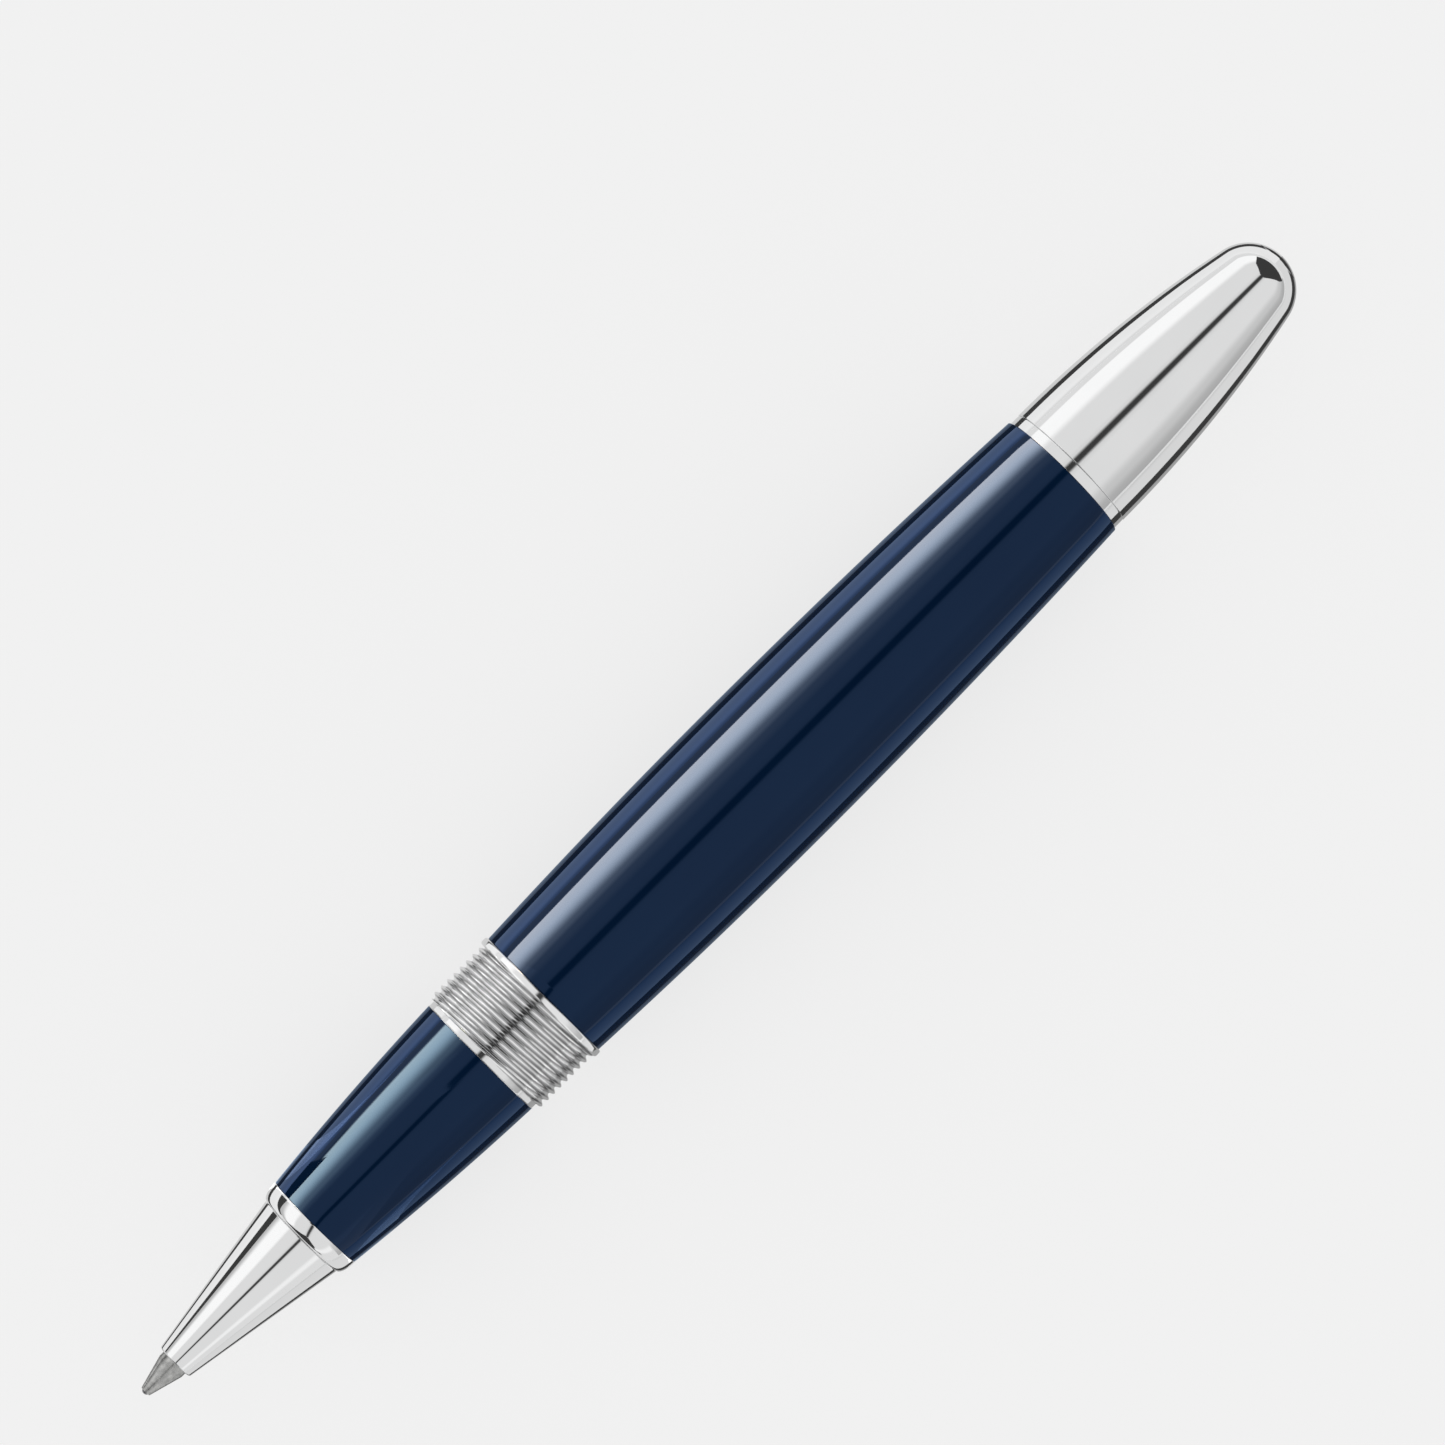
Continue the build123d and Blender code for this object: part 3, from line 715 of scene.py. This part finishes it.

# The dark line near each edge of the pen, where it mirrors the black floor strips, a painted shade
# beside
# the pen, by side: its two borders, as shares of the radius, and how far the nose's borders lie from
# those.
EDGE_LINES = {1: (0.900, 0.955), -1: (0.888, 0.958)}
NOSE_SHIFTS = {1: (0.012, 0.002), -1: (0.047, 0.018)}
AT_THE_EDGE = 0.999        # the share of the radius where the strips start
TAIL_DOME = 3.9 * MM       # radius of the tail's round end


def glow(name, across=None, places=(), levels=(), colour=WHITE, added=False):
    """A studio card's light. Its level goes smoothly from one to the next of levels at places, which
    are measured along the Y or Z that across names. An added card lets what is behind it through.
    Light that has already left the floor meets plain air, so that no card marks the floor."""
    material, nodes, links = new_material(name)
    nodes.remove(nodes["Principled BSDF"])
    light = nodes.new("ShaderNodeEmission")
    light.inputs["Color"].default_value = (*colour, 1.0)
    path = nodes.new("ShaderNodeLightPath")
    bounced = nodes.new("ShaderNodeMath")
    bounced.operation = "MINIMUM"
    bounced.inputs[1].default_value = 1.0
    links.new(path.outputs["Diffuse Depth"], bounced.inputs[0])
    if across:
        place = nodes.new("ShaderNodeTexCoord")
        axes = nodes.new("ShaderNodeSeparateXYZ")
        links.new(place.outputs["Object"], axes.inputs["Vector"])
    level = None
    for here, there, low, high in zip(places, places[1:], levels, levels[1:]):
        ramp = nodes.new("ShaderNodeMapRange")
        ramp.interpolation_type = "SMOOTHSTEP"
        ramp.inputs["From Min"].default_value = here
        ramp.inputs["From Max"].default_value = there
        ramp.inputs["To Min"].default_value = 0.0 if level else low
        ramp.inputs["To Max"].default_value = high - low if level else high
        links.new(axes.outputs[across], ramp.inputs["Value"])
        if level:
            total = nodes.new("ShaderNodeMath")
            links.new(level, total.inputs[0])
            links.new(ramp.outputs["Result"], total.inputs[1])
            level = total.outputs["Value"]
        else:
            level = ramp.outputs["Result"]
    blend = nodes.new("ShaderNodeMix")
    blend.inputs["A"].default_value = levels[0]
    blend.inputs["B"].default_value = 0.0 if added else AIR
    links.new(bounced.outputs["Value"], blend.inputs["Factor"])
    if level:
        links.new(level, blend.inputs["A"])
    links.new(blend.outputs["Result"], light.inputs["Strength"])
    surface = light.outputs["Emission"]
    if added:
        clear = nodes.new("ShaderNodeBsdfTransparent")
        both = nodes.new("ShaderNodeAddShader")
        links.new(surface, both.inputs[0])
        links.new(clear.outputs["BSDF"], both.inputs[1])
        surface = both.outputs["Shader"]
    links.new(surface, nodes["Material Output"].inputs["Surface"])
    return material


def card(name, corners, material, faces=((0, 1, 2, 3),), only_for=()):
    """A card in the studio that only bright surfaces mirror, or only the pieces named in only_for.
    faces says which corners each of its faces has, going round."""
    mesh = bpy.data.meshes.new(name)
    mesh.from_pydata(corners, [], faces)
    piece = bpy.data.objects.new(name, mesh)
    bpy.context.scene.collection.objects.link(piece)
    mesh.materials.append(material)
    piece.visible_camera = False
    piece.visible_diffuse = False
    piece.visible_shadow = False
    if only_for:
        piece.light_linking.receiver_collection = bpy.data.collections.new(name + "_lights")
        for lit in only_for:
            piece.light_linking.receiver_collection.objects.link(bpy.data.objects[lit])
    return piece


def strip(name, x_span, near, far, material, only_for=()):
    """A card along the pen between two places across it, each (y, z)."""
    left, right = x_span
    corners = [(left, *near), (right, *near), (right, *far), (left, *far)]
    return card(name, corners, material, only_for=only_for)


def floor_hit(radius, share):
    """How far from the axis a view from above, mirrored at this share of a radius, meets the floor."""
    down = 2 * math.asin(share) - math.pi / 2
    height = AXIS_Z + radius * math.sqrt(1 - share * share)
    return share * radius + height / math.tan(down)


def make_floor():
    """A pale floor that glows a little by itself, so that the pen's shade on it stays faint."""
    material, nodes, links = new_material("pale_floor")
    shader = nodes["Principled BSDF"]
    shader.inputs["Base Color"].default_value = FLOOR_COLOUR
    shader.inputs["Roughness"].default_value = 1.0
    shader.inputs["Specular IOR Level"].default_value = 0.0
    shader.inputs["Emission Color"].default_value = (1.0, 1.0, 1.0, 1.0)
    shader.inputs["Emission Strength"].default_value = FLOOR_GLOW
    deselect()
    bpy.ops.mesh.primitive_plane_add(size=4.0, location=(0, 0, 0))
    floor = bpy.context.object
    floor.name = floor.data.name = "floor"
    floor.data.materials.append(material)


def make_light():
    world = bpy.data.worlds.new("studio_air")
    world.use_nodes = True
    world.node_tree.nodes["Background"].inputs["Color"].default_value = (1.0, 1.0, 1.0, 1.0)
    world.node_tree.nodes["Background"].inputs["Strength"].default_value = AIR
    bpy.context.scene.world = world
    make_windows()
    make_gaps()
    make_floor_cards()


def make_windows():
    """Soft light from the far side, a shaded near side, and a strong lamp for each lacquered piece."""
    for name, x_span, away, heights, places, levels in (
        ("window_rear", (-0.105, 0.9), WINDOW_AWAY, (0.035, 0.40),
         (0.035, 0.050, 0.22, 0.36), (AIR, 1.18, 1.18, AIR)),
        ("window_front", (-0.9, -0.105), WINDOW_AWAY, (0.035, 0.80),
         (0.10, 0.24, 0.56, 0.78), (0.60, 1.18, 1.18, AIR)),
        ("near_shade", (-0.12, 0.9), -SHADE_AWAY, (0.0, 0.36),
         (0.0, 0.05, 0.17, 0.36), (0.48, 0.52, 0.68, AIR)),
        ("near_window", (-0.9, -0.14), -SHADE_AWAY, (0.12, 0.32),
         (0.12, 0.19, 0.22, 0.32), (AIR, 1.08, 1.08, AIR)),
    ):
        low, high = heights
        strip(name, x_span, (away, low), (away, high), glow(name, "Z", places, levels))
    for piece, away, places, levels, colour in (
        ("barrel_shell", 0.40, (0.052, 0.060, 0.15, 0.375, 0.50, 0.85),
         (0.0, 0.95, 1.0, 0.14, 0.033, 0.0), (23.4, 17.6, 11.8)),
        ("grip_sleeve", 0.41, (0.052, 0.090, 0.15, 0.42, 0.60, 0.85),
         (0.0, 1.0, 1.0, 0.17, 0.030, 0.0), (17.8, 16.5, 11.0)),
    ):
        name = piece + "_lamp"
        light = glow(name, "Z", places, levels, colour, added=True)
        strip(name, (-0.9, 0.9), (away, 0.05), (away, 0.85), light, only_for=[piece])


def make_gaps():
    """The dark gap between the lights overhead. It turns towards the near side in front, and widens
    into a dark panel at each end of the studio."""
    panel_foot, far_spread, near_spread = 0.06, 0.62, 0.50
    for name, start, reach, turned, dark, soft in (
        ("gap_rear", (-0.13, 0.028), 0.88, 0.0, 0.036, 0.115),
        ("gap_front", (-0.13, -0.026), -0.64, 12.2, 0.020, 0.075),
    ):
        fringe = soft * 1.8
        places = (-fringe, -soft, -dark, dark, soft, fringe)
        levels = (AIR, AIR * 0.93, BLACK, BLACK, AIR * 0.93, AIR)
        gap = strip(name, (0, reach), (-fringe, 0), (fringe, 0), glow(name, "Y", places, levels))
        gap.location = (*start, GAP_HEIGHT)
        gap.rotation_euler.z = math.radians(turned)
        far_x = start[0] + reach
        far_y = start[1] + reach * math.sin(math.radians(turned))
        card(name + "_end", [
            (far_x, far_y - soft, GAP_HEIGHT), (far_x, far_y + soft, GAP_HEIGHT),
            (far_x, far_y + far_spread, panel_foot), (far_x, far_y - near_spread, panel_foot),
        ], glow(name + "_end", levels=(BLACK,)))


def floor_band(name, side, part, material, surface="black"):
    """A strip on the floor beside the pen, on side 1 or -1, that follows the dark line there: the inner
    part lies between the pen and the line, the outer part beyond it, and the whole strip takes in both.
    surface says what mirrors it: plating, lacquer or, if it is black, both."""
    no_shift = (0.0, 0.0)
    plating = surface == "plating"
    height = STRIP_HEIGHTS[surface]
    rows = []

    def add_row(place, radius, way=math.pi / 2, shift=no_shift, closed=False):
        """Two corners of the strip, near and far, in the way given: 0 is along the pen."""
        far, near = (share + step for share, step in zip(EDGE_LINES[side], shift))
        if closed:
            far = near = (far + near) / 2
        start = floor_hit(radius, far if part == "outer" else AT_THE_EDGE)
        end = floor_hit(radius, near) if part == "inner" else FLOOR_REACH
        for reach in (start, end):
            rows.append((place + reach * math.cos(way), side * reach * math.sin(way), height))

    for node in ("nose_cone", "front_ring", "grip", "cap_thread_ring", "barrel", "tail_cone"):
        front, rear = ends(node)
        shift = NOSE_SHIFTS[side] if plating and node in ("nose_cone", "front_ring") else no_shift
        threaded = node == "cap_thread_ring"
        if threaded:
            rear = ends("mouth_ring")[0]
        elif node == "tail_cone":
            rear -= TAIL_DOME
        elif node == "nose_cone":
            add_row(front - AHEAD_OF_NOSE, wall(node, front + HAIR)[1], shift=shift)
        for step in range(STRIP_STEPS):
            place = front + (rear - front) * (step + 0.5) / STRIP_STEPS
            add_row(place, wall(node, place)[1], shift=shift, closed=threaded and plating)
    for step in range(STRIP_STEPS + 1):
        add_row(rear, TAIL_DOME, math.pi / 2 * (1 - step / STRIP_STEPS))
    faces = [(row, row + 1, row + 3, row + 2) for row in range(0, len(rows) - 2, 2)]
    card(name, rows, material, faces, {"black": (), "plating": PLATED, "lacquer": LACQUERED}[surface])


def make_floor_cards():
    """The floor beside the pen as the pen mirrors it: black to every bright surface, a painted shade
    beside the pen, with separate strips of light for the plating and for the lacquer, and a black flag
    beside the nose."""
    black = glow("black_card", levels=(BLACK,))
    # Black strips beside the pen that only its bright surfaces mirror: painted shade for the floor next
    # to it.
    floor_band("black_floor_far", 1, "whole", black)
    floor_band("black_floor_near", -1, "whole", black)
    for surface, side, part, colour, levels in (
        ("plating", 1, "outer", WHITE, (0.93, 0.98, 0.82, 0.78)),
        ("plating", 1, "inner", WHITE, (0.64,)),
        ("plating", -1, "outer", WHITE, (0.78, 0.78, 0.72, 0.60)),
        ("plating", -1, "inner", WHITE, (0.34,)),
        ("lacquer", 1, "outer", (1.0, 1.28, 1.80), (0.92, 1.50, 0.98, 0.70)),
        ("lacquer", 1, "inner", (1.0, 1.35, 1.90), (0.20,)),
        ("lacquer", -1, "outer", (0.70, 1.0, 1.45), (0.64, 0.67, 0.60, 0.44)),
        ("lacquer", -1, "inner", (0.75, 1.0, 1.35), (0.18,)),
    ):
        name = surface + ("_far" if side > 0 else "_near") + ("_edge" if part == "inner" else "")
        places = (0.017, 0.045, 0.077, FLOOR_REACH) if part == "outer" else ()
        if side < 0:
            places, levels = [-place for place in places[::-1]], levels[::-1]
        light = glow(name, "Y" if places else None, places, levels, colour, added=True)
        floor_band(name, side, part, light, surface)
    card("nose_flag", [
        (-0.052, 0.06, 0.0002), (-0.084, 0.06, 0.0040), (-0.115, 0.06, 0.0040),
        (-0.115, 0.06, 0.0135), (-0.084, 0.06, 0.0150), (-0.052, 0.06, 0.0240),
    ], black, ((0, 1, 2, 3, 4, 5),))


def make_camera():
    """Camera almost straight above the pen, turned so that the pen lies corner to corner."""
    height = 552 * MM
    view_width = 116.5 * MM
    aside = 5.3 * MM
    slant = math.radians(44.93)
    aim = Vector((TIP_X + 71.0 * MM, aside, AXIS_Z))
    place = Vector((TIP_X + 49.0 * MM, aside, AXIS_Z + height))
    data = bpy.data.cameras.new("camera")
    data.sensor_width = 36.0
    data.lens = data.sensor_width * height / view_width
    data.clip_start = 0.01
    data.clip_end = 10.0
    camera = bpy.data.objects.new("camera", data)
    bpy.context.scene.collection.objects.link(camera)
    back = (place - aim).normalized()
    side_way = back.cross(Vector((1, 0, 0))).normalized()
    pen_way = side_way.cross(back).normalized()
    right = pen_way * math.cos(slant) - side_way * math.sin(slant)
    up = pen_way * math.sin(slant) + side_way * math.cos(slant)
    matrix = camera.matrix_world.copy()
    for column, vector in enumerate((right, up, back, place)):
        for row in range(3):
            matrix[row][column] = vector[row]
    camera.matrix_world = matrix
    bpy.context.scene.camera = camera


make_floor()
make_light()
make_camera()
bpy.context.scene.view_settings.view_transform = "Standard"
